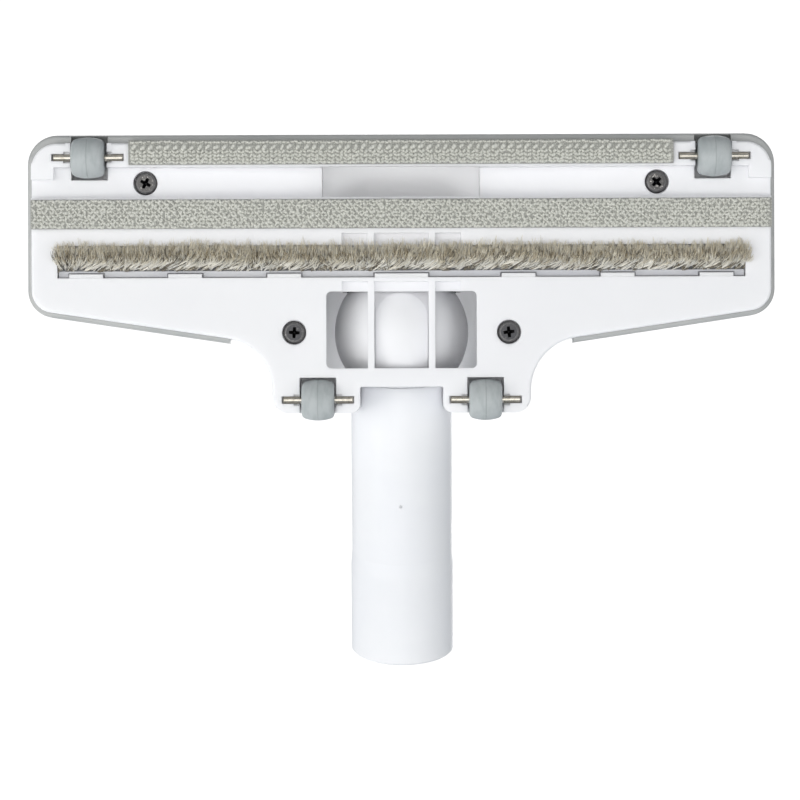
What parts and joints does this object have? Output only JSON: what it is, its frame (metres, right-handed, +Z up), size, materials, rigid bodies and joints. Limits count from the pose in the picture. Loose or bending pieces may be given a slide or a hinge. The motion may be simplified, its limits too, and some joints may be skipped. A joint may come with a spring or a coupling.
{
  "type": "vacuum floor brush head",
  "caption": "T-shaped vacuum floor head: moulded sole with suction mouth, lint strips, hair brush and barrel rollers under a domed cover, with a tilting, turning pipe neck.",
  "frame": {"origin": "on the floor, under the middle of the whole part", "axes": "+Z up, +X across the head to its right, front of the head towards -Y, neck rising towards +Y"},
  "size_m": [0.252, 0.1827, 0.0776],
  "materials": {
    "white_plastic": "satin white moulded plastic",
    "bumper_grey": "matt grey soft plastic",
    "lint_fabric": "grey-green knitted tape",
    "carrier_grey": "matt grey plastic",
    "bristle_hair": "natural brown hair with pale roots",
    "seal_rubber": "dark soft rubber",
    "ring_plastic": "pale tough plastic",
    "screw_steel": "black-plated steel",
    "roller_grey": "satin grey moulded tread",
    "axle_steel": "bright drawn steel"
  },
  "bodies": {
    "head": {"bottom_plate": "white_plastic", "top_cover": "white_plastic", "bumper": "bumper_grey", "front_lint_strip": "lint_fabric", "rear_lint_strip": "lint_fabric", "brush_carrier": "carrier_grey", "brush_bristles": "bristle_hair", "ball_seal": "seal_rubber", "cover_screws": "screw_steel", "axle_front_left": "axle_steel", "axle_front_right": "axle_steel", "axle_rear_left": "axle_steel", "axle_rear_right": "axle_steel"},
    "ball": {"swivel_ball": "white_plastic"},
    "neck": {"neck_tube": "white_plastic", "neck_retaining_ring": "ring_plastic"},
    "roller_front_left": {"roller_front_left": "roller_grey"},
    "roller_front_right": {"roller_front_right": "roller_grey"},
    "roller_rear_left": {"roller_rear_left": "roller_grey"},
    "roller_rear_right": {"roller_rear_right": "roller_grey"}
  },
  "joints": [
    {"name": "neck_pitch", "type": "hinge", "parent": "head", "child": "ball", "pos_m": [0, -0.02495, 0.0285], "axis": [1, 0, 0], "range_deg": [0, 54]},
    {"name": "neck_twist", "type": "hinge", "parent": "ball", "child": "neck", "pos_m": [0, -0.02495, 0.0285], "axis": [0, 0.9613, 0.2756], "continuous": true},
    {"name": "roll_front_left", "type": "hinge", "parent": "head", "child": "roller_front_left", "pos_m": [-0.1054, -0.08355, 0.0069], "axis": [1, 0, 0], "continuous": true},
    {"name": "roll_front_right", "type": "hinge", "parent": "head", "child": "roller_front_right", "pos_m": [0.1054, -0.08355, 0.0069], "axis": [1, 0, 0], "continuous": true},
    {"name": "roll_rear_left", "type": "hinge", "parent": "head", "child": "roller_rear_left", "pos_m": [-0.0282, -0.00175, 0.0069], "axis": [1, 0, 0], "continuous": true},
    {"name": "roll_rear_right", "type": "hinge", "parent": "head", "child": "roller_rear_right", "pos_m": [0.0282, -0.00175, 0.0069], "axis": [1, 0, 0], "continuous": true}
  ]
}
